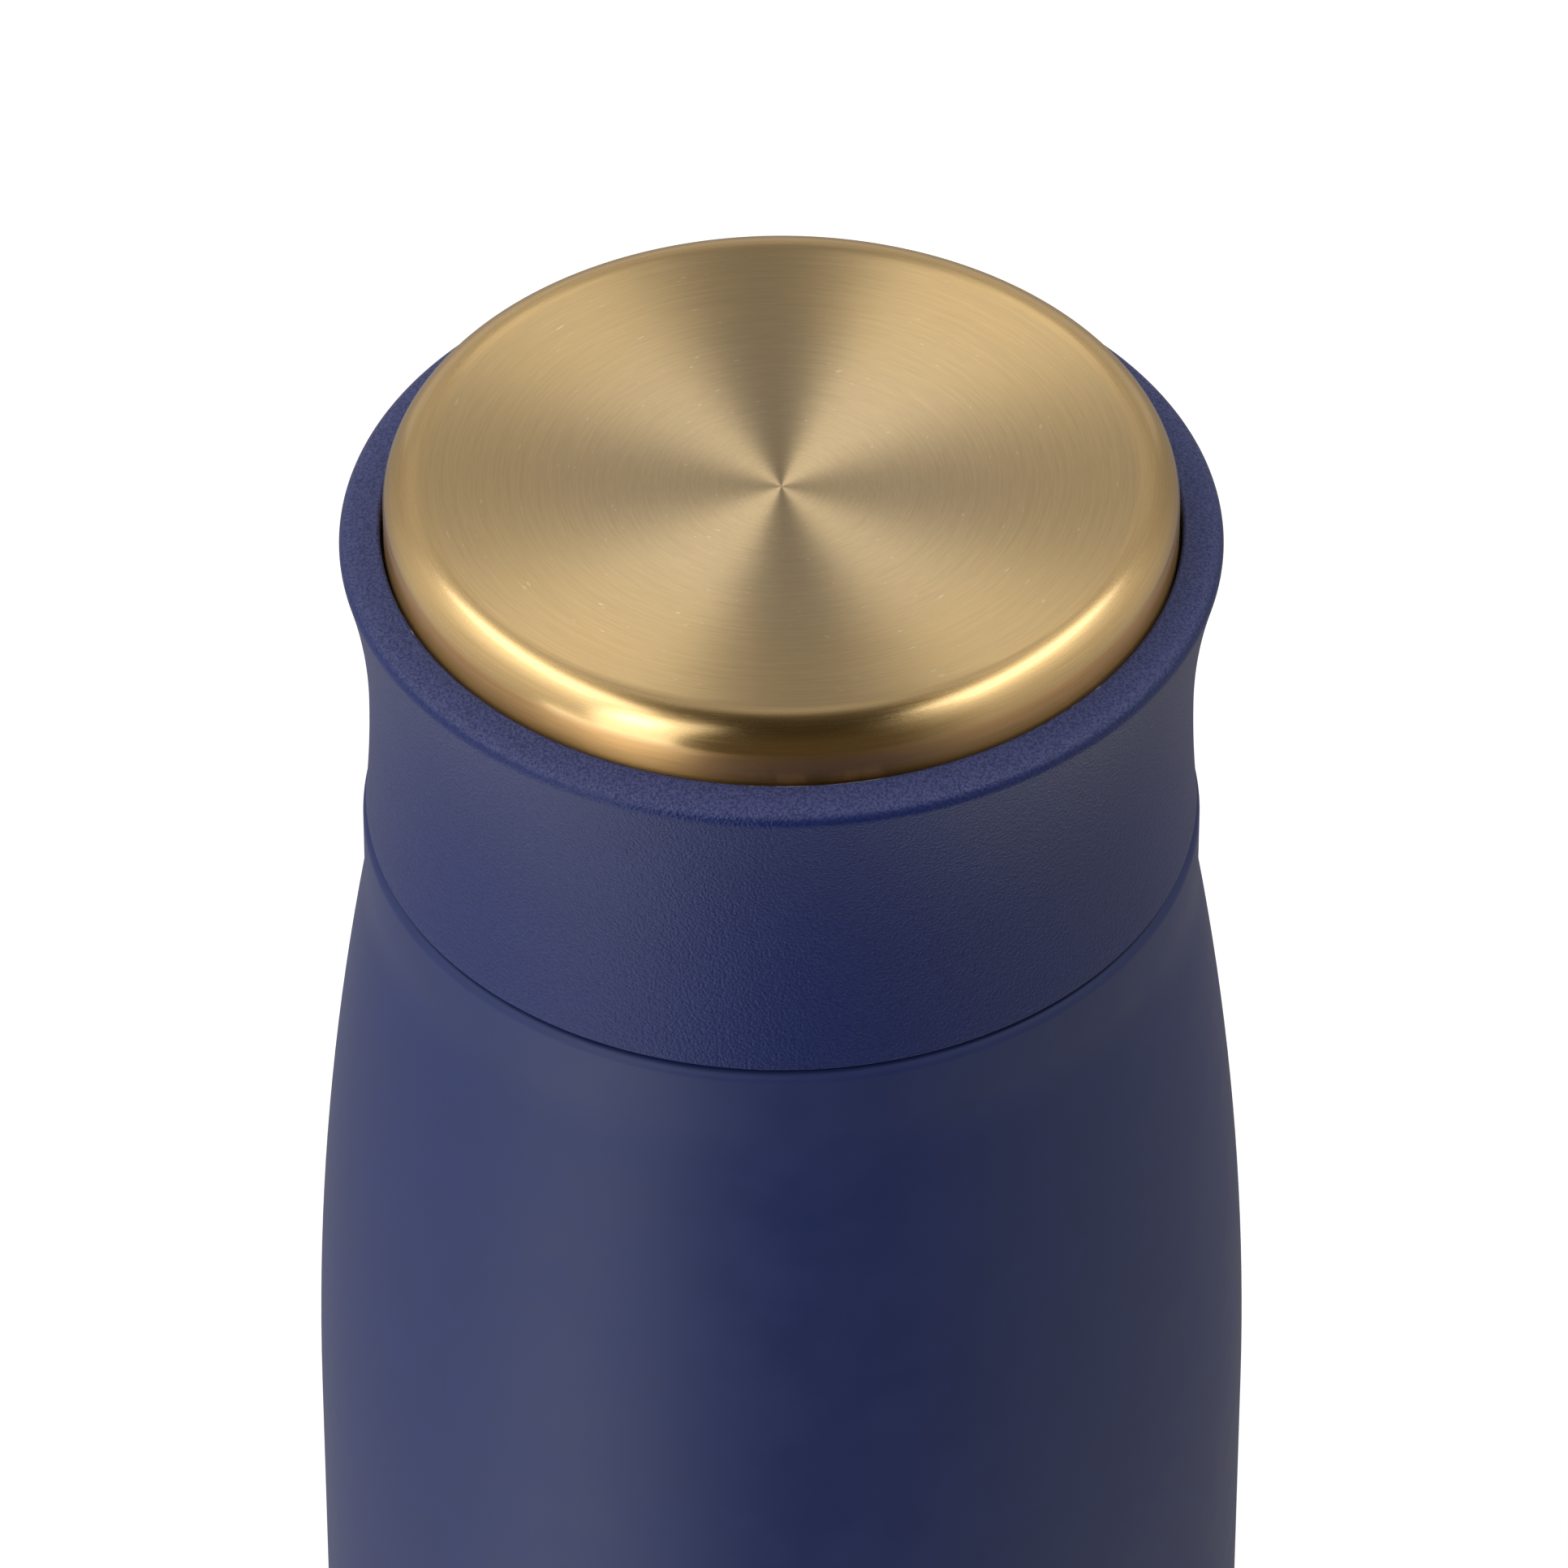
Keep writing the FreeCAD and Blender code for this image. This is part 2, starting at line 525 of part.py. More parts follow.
def stopper_cup():
    top = CEILING_UNDERSIDE
    bottom = top - STOPPER_DEPTH
    bead_top = MOUTH - BEAD_GAP
    bead = STOPPER_RADIUS + BEAD_REACH
    bore = STOPPER_RADIUS - STOPPER_WALL
    corners = [(0, bottom, 0), (STOPPER_RADIUS, bottom, STOPPER_CORNER),
               (STOPPER_RADIUS, bead_top - BEAD_HEIGHT, BEAD_BEND),
               (bead, bead_top - BEAD_HEIGHT, BEAD_EDGE), (bead, bead_top, BEAD_EDGE),
               (STOPPER_RADIUS, bead_top, BEAD_BEND), (STOPPER_RADIUS, top, 0), (bore, top, 0),
               (bore, bottom + STOPPER_WALL, STOPPER_CORNER - STOPPER_WALL),
               (0, bottom + STOPPER_WALL, 0)]
    return turned_solid(corners)


def stopper_foam():
    radius = STOPPER_RADIUS - STOPPER_WALL - FOAM_GAP
    low = CEILING_UNDERSIDE - STOPPER_DEPTH + STOPPER_WALL
    return disc(radius, low, CEILING_UNDERSIDE - FOAM_GAP, STOPPER_FOAM_EDGE)


def lid_foam():
    radius = DECK_RADIUS - COLLAR_WALL - FOAM_GAP
    return disc(radius, CEILING_TOP, DECK_UNDERSIDE - FOAM_GAP, LID_FOAM_EDGE)


PIECES = {
    "outer_shell": outer_shell,
    "inner_flask": inner_flask,
    "copper_foil": copper_foil,
    "outer_base": outer_base,
    "vacuum_seal": vacuum_seal,
    "getter_tray": getter_tray,
    "getter_pill": getter_pill,
    "base_pad": base_pad,
    "lid_plate": lid_plate,
    "plate_tape": plate_tape,
    "lid_collar": lid_collar,
    "lid_liner": lid_liner,
    "lid_gasket": lid_gasket,
    "stopper_cup": stopper_cup,
    "stopper_foam": stopper_foam,
    "lid_foam": lid_foam,
}

os.makedirs("parts", exist_ok=True)
for name, make in PIECES.items():
    shape = make()
    shape.exportStep("parts/" + name + ".step")
    box = shape.optimalBoundingBox(False)
    print(name, "solids", len(shape.Solids), "valid", shape.isValid(),
          "volume", round(shape.Volume, 1), "z", round(box.ZMin, 2), round(box.ZMax, 2),
          "x", round(box.XMin, 2), round(box.XMax, 2))
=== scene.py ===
"""Looks of the insulated bottle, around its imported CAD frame.

Metres, in the frame's own axes: +Z up, origin under the middle of the base. The three pieces that
are seen most are turned again here on finer meshes, and every other CAD node keeps its shape and
gets a better material.
"""

import math

import bpy
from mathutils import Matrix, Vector


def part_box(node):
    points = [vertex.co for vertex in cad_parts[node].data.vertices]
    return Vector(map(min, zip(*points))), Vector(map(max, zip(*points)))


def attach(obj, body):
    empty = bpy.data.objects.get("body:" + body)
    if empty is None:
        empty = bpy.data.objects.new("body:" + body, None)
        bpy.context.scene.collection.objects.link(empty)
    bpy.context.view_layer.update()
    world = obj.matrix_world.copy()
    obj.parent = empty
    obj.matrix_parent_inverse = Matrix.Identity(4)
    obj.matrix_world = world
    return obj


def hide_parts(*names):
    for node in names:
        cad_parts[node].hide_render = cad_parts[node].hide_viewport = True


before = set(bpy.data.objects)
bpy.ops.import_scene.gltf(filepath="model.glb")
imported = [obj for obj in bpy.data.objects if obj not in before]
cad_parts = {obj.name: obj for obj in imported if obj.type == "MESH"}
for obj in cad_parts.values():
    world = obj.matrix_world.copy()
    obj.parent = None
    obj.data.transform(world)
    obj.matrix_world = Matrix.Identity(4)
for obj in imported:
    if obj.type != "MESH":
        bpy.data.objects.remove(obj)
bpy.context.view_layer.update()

MM = 0.001
SEGMENTS = 512                  # round the bottle
CHORD_SAG = 0.003 * MM          # furthest that a chord lies from its arc
ARC_STEP = math.radians(4)      # longest step along an arc
FLARE_STEP = math.radians(1)    # along the collar's long concave curves
SHOULDER_STEP = math.radians(2.5)       # round the plate's edge
DISH_STEP = math.radians(0.25)          # along the plate's shallow dish
SHORTEST_RUN = 0.001 * MM       # outline points nearer than this count as one
ON_AXIS = 1e-9                  # an outline point with less radius lies on the axis

# ---- sizes of the turned pieces ----------------------------------------------------------------
# Places and overall sizes come from the CAD boxes. Walls, bends and gaps are the CAD's own.
plate_low, plate_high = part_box("lid_plate")
collar_low, collar_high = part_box("lid_collar")
shell_low, shell_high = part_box("outer_shell")
liner_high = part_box("lid_liner")[1]

CREST = plate_high.z
PLATE_RADIUS = plate_high.x
PLATE_FOOT = plate_low.z
PLATE_WALL = 0.6 * MM
PLATE_SHOULDER = 2.5 * MM
PLATE_DISH = 1.4 * MM           # the middle lies this far below the crest
PLATE_FOOT_EDGE = 0.12 * MM

LID_FOOT = collar_low.z
DECK_TOP = collar_high.z
RIM_RADIUS = collar_high.x
RIM_FLARE = 1.95 * MM
RIM_WIDTH = 3.1 * MM
RIM_LINE = CREST - 6.2 * MM     # height of the rim's outermost line
RIM_LIP = 0.85 * MM
RIM_TOP = CREST - 4.7 * MM
RIM_INNER_EDGE = 0.25 * MM
WAIST_RADIUS = RIM_RADIUS - RIM_FLARE
WAIST = CREST - 21.4 * MM
COLLAR_FOOT_RADIUS = WAIST_RADIUS + 0.45 * MM
COLLAR_FOOT_EDGE = 0.3 * MM
COLLAR_WALL = 1.6 * MM
COLLAR_INSIDE_BEND = 0.6 * MM
LINER_GAP = 0.2 * MM
COLLAR_BORE = liner_high.x + LINER_GAP
RECESS_RADIUS = RIM_RADIUS - RIM_WIDTH
RECESS_FLOOR = CREST - 6.6 * MM
RECESS_BEND = 0.1 * MM
DECK_GAP = 0.3 * MM             # deck to the inside of the plate's skirt
DECK_RADIUS = PLATE_RADIUS - PLATE_WALL - DECK_GAP
DECK_CORNER = 1.6 * MM
DECK_INNER_BEND = 1.0 * MM

BODY_RADIUS = shell_high.x
BODY_FOOT = shell_low.z
NECK_TOP = shell_high.z
NECK_RADIUS = 26.0 * MM
SHELL_WALL = 0.5 * MM
SEAM_GAP = 0.3 * MM
SEAM_STEP = 0.25 * MM           # how far the body stands proud of the collar
LEDGE = LID_FOOT - SEAM_GAP
THROAT_RADIUS = COLLAR_FOOT_RADIUS + SEAM_STEP
THROAT_LENGTH = 5.2 * MM
THROAT_BEND = 25.0 * MM
SHOULDER_LENGTH = 54.7 * MM
SEAM_BEND = 0.8 * MM
BODY_FOOT_BEND = 4.0 * MM
FOOT_FLANGE = 5.8 * MM

THREAD_PITCH = 4.5 * MM
THREAD_DEPTH = 1.0 * MM
THREAD_ROOT = 1.9 * MM          # width of the ridge at the wall
THREAD_HALF_CREST = 0.29        # half the crest's width, as a share of the root's
THREAD_SINK = 0.1 * MM          # how far the ridge is buried in the wall
THREAD_TURNS = 1.75
THREAD_STEPS = 144              # in one turn
THREAD_RUN_OUT = math.radians(35)
THREAD_END_HEIGHT = 0.02        # share of the depth left at the two ends
THREAD_START = LEDGE + 4.6 * MM


# ---- outlines ----------------------------------------------------------------------------------
def arc(centre, radius, start, end, step=ARC_STEP):
    """Points on an arc in the (radius, height) plane, both ends included, with short chords."""
    step = min(step, 2 * math.sqrt(2 * CHORD_SAG / abs(radius))) if radius else step
    count = max(2, math.ceil(abs(end - start) / step))
    angles = [start + (end - start) * i / count for i in range(count + 1)]
    return [(centre[0] + radius * math.cos(a), centre[1] + radius * math.sin(a)) for a in angles]


def rounded(corners):
    """Points through (radius, height, bend) corners, each bend an arc tangent to both runs."""
    points = [corners[0][:2]]
    for before, corner, after in zip(corners, corners[1:], corners[2:]):
        tip = Vector(corner[:2])
        if corner[2] == 0:
            points.append(tuple(tip))
            continue
        back = (Vector(before[:2]) - tip).normalized()
        onward = (Vector(after[:2]) - tip).normalized()
        half = back.angle(onward) / 2
        centre = tip + (back + onward).normalized() * (corner[2] / math.sin(half))
        first = tip + back * (corner[2] / math.tan(half)) - centre
        last = tip + onward * (corner[2] / math.tan(half)) - centre
        start = math.atan2(first.y, first.x)
        sweep = math.atan2(first.x * last.y - first.y * last.x, first.dot(last))
        points += arc(centre, corner[2], start, start + sweep)
    points.append(corners[-1][:2])
    return points


def moved_left(corners, wall):
    """The same path moved sideways by wall, to the left of its travel, with its bends following."""
    tips = [Vector(c[:2]) for c in corners]
    runs = [(b - a).normalized() for a, b in zip(tips, tips[1:])]
    sides = [Vector((-run.y, run.x)) for run in runs]
    moved = [(*(tips[0] + sides[0] * wall), 0)]
    for tip, corner, first, second, side in zip(tips[1:], corners[1:], runs, runs[1:], sides):
        turn = first.x * second.y - first.y * second.x
        shift = wall * (1 - first.dot(second)) / turn
        bend = max(corner[2] - math.copysign(wall, turn), 0) if corner[2] else 0
        moved.append((*(tip + side * wall - first * shift), bend))
    moved.append((*(tips[-1] + sides[-1] * wall), 0))
    return moved


def flare(reach, drop):
    """Radius and angle of the arc that drifts sideways by reach over a length of drop."""
    radius = (reach ** 2 + drop ** 2) / (2 * reach)
    return radius, math.asin(drop / radius)


def plate_side(inset):
    """The plate's outline from its middle to the skirt's foot, moved inwards by inset."""
    crest_radius = PLATE_RADIUS - PLATE_SHOULDER
    spread, tilt = flare(PLATE_DISH, crest_radius)
    dish = spread - PLATE_SHOULDER + inset
    quarter = math.pi / 2
    top = arc((0, CREST - PLATE_DISH + dish - inset), dish, -quarter, tilt - quarter, DISH_STEP)
    shoulder = arc((crest_radius, CREST - PLATE_SHOULDER), PLATE_SHOULDER - inset,
                   quarter + tilt, 0, SHOULDER_STEP)
    return top + shoulder[1:] + [(PLATE_RADIUS - inset, PLATE_FOOT)]


def plate_outline():
    outside = plate_side(0)
    outside[-1] = (PLATE_RADIUS, PLATE_FOOT + PLATE_FOOT_EDGE)
    inside = plate_side(PLATE_WALL)
    return outside + [(PLATE_RADIUS - PLATE_FOOT_EDGE, PLATE_FOOT)] + inside[::-1]


def collar_outline():
    run = RIM_RADIUS - RIM_LIP - RECESS_RADIUS
    drop = RIM_TOP - RIM_LINE
    slope = -math.atan2(drop, run) + math.asin(RIM_LIP / math.hypot(run, drop))
    upper, upper_angle = flare(RIM_FLARE, RIM_LINE - WAIST)
    upper -= RIM_LIP
    lower, lower_angle = flare(COLLAR_FOOT_RADIUS - WAIST_RADIUS,
                               WAIST - LID_FOOT - COLLAR_FOOT_EDGE)
    lip = arc((RIM_RADIUS - RIM_LIP, RIM_LINE), RIM_LIP, math.pi / 2 + slope, -upper_angle)
    upper_flare = arc((WAIST_RADIUS + upper, WAIST), -upper, -upper_angle, 0, FLARE_STEP)
    lower_flare = arc((WAIST_RADIUS + lower, WAIST), -lower, 0, lower_angle, FLARE_STEP)
    deck_inner = DECK_RADIUS - COLLAR_WALL
    under = RECESS_FLOOR - COLLAR_WALL
    recess = rounded([(0, DECK_TOP, 0), (DECK_RADIUS, DECK_TOP, DECK_CORNER),
                      (DECK_RADIUS, RECESS_FLOOR, RECESS_BEND),
                      (RECESS_RADIUS, RECESS_FLOOR, RECESS_BEND),
                      (RECESS_RADIUS, RIM_TOP, RIM_INNER_EDGE), (*lip[0], 0)])
    inside = rounded([(COLLAR_FOOT_RADIUS, LID_FOOT + COLLAR_FOOT_EDGE, 0),
                      (COLLAR_FOOT_RADIUS, LID_FOOT, COLLAR_FOOT_EDGE),
                      (COLLAR_BORE, LID_FOOT, COLLAR_FOOT_EDGE),
                      (COLLAR_BORE, under, COLLAR_INSIDE_BEND),
                      (deck_inner, under, COLLAR_INSIDE_BEND),
                      (deck_inner, DECK_TOP - COLLAR_WALL, DECK_INNER_BEND),
                      (0, DECK_TOP - COLLAR_WALL, 0)])
    return recess[:-1] + lip + upper_flare[1:] + lower_flare[1:] + inside[1:]


def shell_outline():
    spread, turn = flare(BODY_RADIUS - THROAT_RADIUS, SHOULDER_LENGTH)
    convex = spread - THROAT_BEND
    top = LEDGE - THROAT_LENGTH
    path = [(BODY_RADIUS - FOOT_FLANGE, BODY_FOOT, 0), (BODY_RADIUS, BODY_FOOT, BODY_FOOT_BEND),
            (BODY_RADIUS, top - SHOULDER_LENGTH + convex * math.tan(turn / 2), convex),
            (THROAT_RADIUS, top - THROAT_BEND * math.tan(turn / 2), THROAT_BEND),
            (THROAT_RADIUS, LEDGE, SEAM_BEND), (NECK_RADIUS, LEDGE, SEAM_BEND),
            (NECK_RADIUS, NECK_TOP, 0)]
    return rounded(path) + rounded(moved_left(path, SHELL_WALL)[::-1])


# ---- meshes ------------------------------------------------------------------------------------
def new_piece(name, vertices, faces, materials, body, slot, *nodes):
    """A smooth mesh that rides on a body and stands for CAD nodes."""
    mesh = bpy.data.meshes.new(name)
    mesh.from_pydata(vertices, [], faces)
    for material in materials:
        mesh.materials.append(material)
    mesh.shade_smooth()
    mesh.validate()
    piece = bpy.data.objects.new(name, mesh)
    bpy.context.scene.collection.objects.link(piece)
    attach(piece, body)
    if nodes:
        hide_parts(*nodes)
    return piece


def lathe(name, outline, materials, body, slot, *nodes):
    """Body of revolution about +Z of an outline that is closed by itself or by the axis."""
    points = [a for a, b in zip(outline, outline[1:]) if math.dist(a, b) > SHORTEST_RUN]
    points.append(outline[-1])
    vertices, rings = [], []
    for radius, height in points:
        if radius < ON_AXIS:
            rings.append([len(vertices)] * SEGMENTS)
            vertices.append((0, 0, height))
            continue
        rings.append(range(len(vertices), len(vertices) + SEGMENTS))
        for i in range(SEGMENTS):
            angle = math.tau * i / SEGMENTS
            vertices.append((radius * math.cos(angle), radius * math.sin(angle), height))
    if points[0][0] > ON_AXIS:
        rings.append(rings[0])
    faces = []
    for lower, upper in zip(rings, rings[1:]):
        for i in range(SEGMENTS):
            j = (i + 1) % SEGMENTS
            corners = [lower[i], upper[i], upper[j], lower[j]]
            face = [v for k, v in enumerate(corners) if v not in corners[:k]]
            if len(face) > 2:
                faces.append(face)
    return new_piece(name, vertices, faces, materials, body, slot, *nodes)


def thread_ridge(name, wall, turns, start, material, body, slot):
    """Rolled helical ridge on a wall, with its two ends run out to nothing."""
    profile = [(-THREAD_SINK, -0.5), (0, -0.5), (1, -THREAD_HALF_CREST), (1, THREAD_HALF_CREST),
               (0, 0.5), (-THREAD_SINK, 0.5)]
    count = round(turns * THREAD_STEPS)
    vertices, faces = [], []
    for i in range(count + 1):
        angle = math.tau * i / THREAD_STEPS
        ends = min(1, angle / THREAD_RUN_OUT, (turns * math.tau - angle) / THREAD_RUN_OUT)
        rise = THREAD_DEPTH * math.sin(max(ends, THREAD_END_HEIGHT) * math.pi / 2)
        for out, up in profile:
            radius = wall + (out if out < 0 else out * rise)
            height = start + THREAD_PITCH * angle / math.tau + up * THREAD_ROOT
            vertices.append((radius * math.cos(angle), radius * math.sin(angle), height))
    size = len(profile)
    for i in range(count):
        for k in range(size):
            a, b = i * size + k, i * size + (k + 1) % size
            faces.append([a, b, b + size, a + size])
    faces.append(list(range(size))[::-1])
    faces.append(list(range(count * size, (count + 1) * size)))
    return new_piece(name, vertices, faces, [material], body, slot)


# ---- node helpers ------------------------------------------------------------------------------
class Nodes:
    """Short forms for building a node tree."""

    def __init__(self, tree):
        self.tree = tree

    def add(self, kind, **settings):
        node = self.tree.nodes.new("ShaderNode" + kind)
        for key, value in settings.items():
            setattr(node, key, value)
        return node

    def put(self, socket, value):
        """Joins an output to a socket, or sets its value."""
        if isinstance(value, bpy.types.NodeSocket):
            self.tree.links.new(value, socket)
        else:
            socket.default_value = value

    def math(self, operation, *values):
        node = self.add("Math", operation=operation)
        for socket, value in zip(node.inputs, values):
            self.put(socket, value)
        return node.outputs[0]

    def plus(self, first, second):
        return self.math("ADD", first, second)

    def minus(self, first, second):
        return self.math("SUBTRACT", first, second)

    def times(self, first, second):
        return self.math("MULTIPLY", first, second)

    def over(self, first, second):
        return self.math("DIVIDE", first, second)

    def length(self, x, y):
        return self.math("SQRT", self.plus(self.times(x, x), self.times(y, y)))

    def parts(self, vector):
        node = self.add("SeparateXYZ")
        self.put(node.inputs[0], vector)
        return node.outputs

    def vector(self, *values):
        node = self.add("CombineXYZ")
        for socket, value in zip(node.inputs, values):
            self.put(socket, value)
        return node.outputs[0]

    def scaled(self, vector, factor):
        node = self.add("VectorMath", operation="SCALE")
        self.put(node.inputs[0], vector)
        self.put(node.inputs["Scale"], factor)
        return node.outputs[0]

    def noise(self, vector, scale, detail=2.0, roughness=0.5):
        node = self.add("TexNoise")
        self.put(node.inputs["Vector"], vector)
        for key, value in (("Scale", scale), ("Detail", detail), ("Roughness", roughness)):
            self.put(node.inputs[key], value)
        return node.outputs["Fac"]

    def cells(self, vector, scale):
        """Distance to the middle of the nearest of scattered cells."""
        node = self.add("TexVoronoi")
        self.put(node.inputs["Vector"], vector)
        self.put(node.inputs["Scale"], scale)
        return node.outputs["Distance"]

    def ramp(self, value, low, high, to_low=0.0, to_high=1.0):
        """Smooth step of value from low..high to to_low..to_high."""
        node = self.add("MapRange", interpolation_type="SMOOTHSTEP")
        for key, number in (("From Min", low), ("From Max", high), ("To Min", to_low),
                            ("To Max", to_high)):
            self.put(node.inputs[key], number)
        self.put(node.inputs["Value"], value)
        return node.outputs["Result"]

    def mix(self, factor, first, second):
        node = self.add("Mix", data_type="RGBA")
        self.put(node.inputs["Factor"], factor)
        self.put(node.inputs[6], first)
        self.put(node.inputs[7], second)
        return node.outputs[2]

    def bump(self, height, depth, strength):
        """Bump whose height runs over depth metres."""
        node = self.add("Bump")
        self.put(node.inputs["Height"], height)
        self.put(node.inputs["Distance"], depth)
        self.put(node.inputs["Strength"], strength)
        return node.outputs[0]


class Finish(Nodes):
    """A material, whose shader takes the same value all over for each socket named here."""

    def __init__(self, name, **sockets):
        self.material = bpy.data.materials.new(name)
        self.material.use_nodes = True
        super().__init__(self.material.node_tree)
        self.shader = self.tree.nodes["Principled BSDF"]
        for socket, value in sockets.items():
            self.shader.inputs[socket.replace("_", " ")].default_value = value

    def position(self):
        """Object coordinates: a turned piece's own place, which moves with it."""
        return self.add("TexCoord").outputs["Object"]

    def link(self, socket, value):
        self.put(self.shader.inputs[socket], value)


def colour(red, green, blue):
    return (red, green, blue, 1.0)


# ---- materials ---------------------------------------------------------------------------------
def brass_plate():
    """Spin-brushed metal in a brass colour, with a smoother and deeper gold on the rounded edge;
    the skirt's deeper orange is partly a painted reflection of light bounced onto it.
    """
    middle_gold, outer_gold = colour(0.755, 0.575, 0.325), colour(0.785, 0.57, 0.275)
    # skirt colour: partly the brass's own, partly a painted reflection of inter-reflected light
    edge_gold, skirt_gold_and_painted_bounce = colour(0.80, 0.54, 0.225), colour(0.85, 0.52, 0.20)
    scratch_gold = colour(0.95, 0.82, 0.6)
    brushed, ring_depth = 0.5, 0.1      # roughness of the flat, and what the rings add to it
    skirt_polish, edge_polish = 0.12, 0.28      # taken off that roughness
    m = Finish("brass_plate", Metallic=1.0, Anisotropic=0.9, Anisotropic_Rotation=0.25,
               Coat_Weight=1.0, Coat_Roughness=0.15)
    x, y, z = m.parts(m.position())
    radius = m.length(x, y)
    divisor = m.math("MAXIMUM", radius, 1e-6)
    cosine = m.over(x, divisor)
    sine = m.over(y, divisor)
    along = m.minus(radius, z)

    def rings(per_metre, around, detail):
        """Noise in thin rings about the axis, which change slowly around it."""
        return m.noise(m.vector(m.times(along, per_metre), m.times(cosine, around),
                                m.times(sine, around)), 1.0, detail, 0.6)

    tone = m.plus(m.times(rings(4200.0, 2.2, 4.0), 0.55), m.times(rings(9000.0, 9.0, 2.0), 0.45))
    scratches = m.times(m.ramp(rings(3400.0, 14.0, 1.0), 0.735, 0.78),
                        m.ramp(radius, 25 * MM, 27 * MM, 0.6, 0.1))
    flat = m.mix(m.ramp(radius, 8 * MM, 25 * MM), middle_gold, outer_gold)
    edge = m.mix(m.ramp(radius, 26.0 * MM, 27.6 * MM), flat, edge_gold)
    above_skirt = m.ramp(z, CREST - PLATE_SHOULDER, CREST - 1.9 * MM)
    # below the shoulder the colour turns to the skirt's, which is partly painted reflection
    gold = m.scaled(m.mix(above_skirt, skirt_gold_and_painted_bounce, edge), m.ramp(tone, 0.25, 0.75, 0.90, 1.06))
    m.link("Base Color", m.mix(scratches, gold, scratch_gold))
    polish = m.times(m.ramp(radius, 26.3 * MM, 27.5 * MM),
                     m.ramp(above_skirt, 0.0, 1.0, skirt_polish, edge_polish))
    m.link("Roughness", m.minus(m.plus(brushed, m.times(tone, ring_depth)), polish))
    m.link("Normal", m.bump(tone, 0.003 * MM, 0.5))
    m.link("Tangent", m.add("Tangent", direction_type="RADIAL", axis="Z").outputs[0])
    return m.material


def navy_plastic():
    """Moulded plastic with a fine spark-eroded grain, painted paler where the rim faces up and
    flecked pale along the rim's inner edge, both painted highlights.
    """
    deep_navy, light_navy = colour(0.014, 0.026, 0.13), colour(0.021, 0.037, 0.172)
    # paler colours for the rim where it faces up: a painted highlight of the light from above
    deep_painted_highlight, light_painted_highlight = colour(0.022, 0.033, 0.125), colour(0.07, 0.082, 0.225)
    # colour and cover of pale flecks along the rim's inner edge: a painted highlight where the edge
    # catches light
    painted_glint_colour, painted_glint_cover = colour(0.5, 0.53, 0.62), 0.7
    side_roughness, top_roughness, lip_polish = 0.42, 0.54, 0.22
    m = Finish("navy_plastic", Sheen_Weight=0.17, Sheen_Roughness=0.3, Specular_IOR_Level=0.3)
    place = m.position()
    x, y, z = m.parts(place)
    radius = m.length(x, y)
    grain = m.noise(place, 5000.0, 2.0, 0.6)
    pebbles = m.cells(place, 4000.0)
    height = m.plus(m.times(grain, 0.65), m.times(pebbles, -0.35))
    m.link("Normal", m.bump(height, 0.12 * MM, 0.9))
    fleck = m.ramp(grain, 0.35, 0.65)
    upward = m.ramp(z, RIM_LINE + 0.35 * MM, RIM_LINE + 0.75 * MM)
    # where the rim faces up the colour turns to the paler pair: painted highlight
    base = m.mix(upward, m.mix(fleck, deep_navy, light_navy),
                 m.mix(fleck, deep_painted_highlight, light_painted_highlight))
    near_recess = m.ramp(radius, RECESS_RADIUS + 0.05 * MM, RECESS_RADIUS + 0.3 * MM, 1.0, 0.0)
    outside_deck = m.ramp(radius, DECK_RADIUS + 0.5 * MM, RECESS_RADIUS - 0.2 * MM)
    inner_edge = m.times(near_recess, m.ramp(z, RIM_TOP - 0.5 * MM, RIM_TOP - 0.2 * MM))
    # pale flecks painted along the rim's inner top edge: painted highlight, not chipping
    painted_glints = m.times(m.ramp(m.noise(place, 150.0, 4.0, 0.65), 0.56, 0.62), inner_edge)
    painted_glints = m.times(painted_glints, outside_deck)
    m.link("Base Color", m.mix(m.times(painted_glints, painted_glint_cover), base, painted_glint_colour))
    lip = m.times(m.ramp(radius, RIM_RADIUS - 1.3 * MM, RIM_RADIUS - 0.6 * MM),
                  m.ramp(z, RIM_LINE - 0.1 * MM, RIM_LINE + 0.25 * MM))
    m.link("Roughness", m.minus(m.ramp(upward, 0.0, 1.0, side_roughness, top_roughness),
                                m.times(lip, lip_polish)))
    return m.material


def navy_paint():
    """Smooth soft-touch paint with a few specks of dust."""
    deep_navy, light_navy = colour(0.017, 0.032, 0.138), colour(0.021, 0.037, 0.152)
    dust_colour, dust_cover = colour(0.5, 0.52, 0.58), 0.6
    m = Finish("navy_paint", Sheen_Weight=0.17, Sheen_Roughness=0.3, Specular_IOR_Level=0.42)
    place = m.position()
    cloud = m.noise(place, 180.0, 3.0, 0.55)
    paint = m.mix(m.ramp(cloud, 0.3, 0.7), deep_navy, light_navy)
    dust = m.times(m.ramp(m.cells(place, 130.0), 0.008, 0.018, 1.0, 0.0),
                   m.ramp(m.noise(place, 60.0), 0.5, 0.56))
    m.link("Base Color", m.mix(m.times(dust, dust_cover), paint, dust_colour))
    m.link("Roughness", m.ramp(cloud, 0.3, 0.7, 0.46, 0.52))
    m.link("Normal", m.bump(m.noise(place, 7000.0, 2.0), 0.008 * MM, 0.4))
    return m.material


def bare_steel():
    """Satin steel with fine turned lines round the axis."""
    m = Finish("bare_steel", Metallic=1.0, Base_Color=colour(0.6, 0.59, 0.57))
    x, y, z = m.parts(m.position())
    lines = m.noise(m.vector(x, y, m.times(z, 30.0)), 300.0, 3.0)
    m.link("Roughness", m.ramp(lines, 0.3, 0.7, 0.26, 0.4))
    m.link("Normal", m.bump(lines, 0.004 * MM, 0.3))
    return m.material


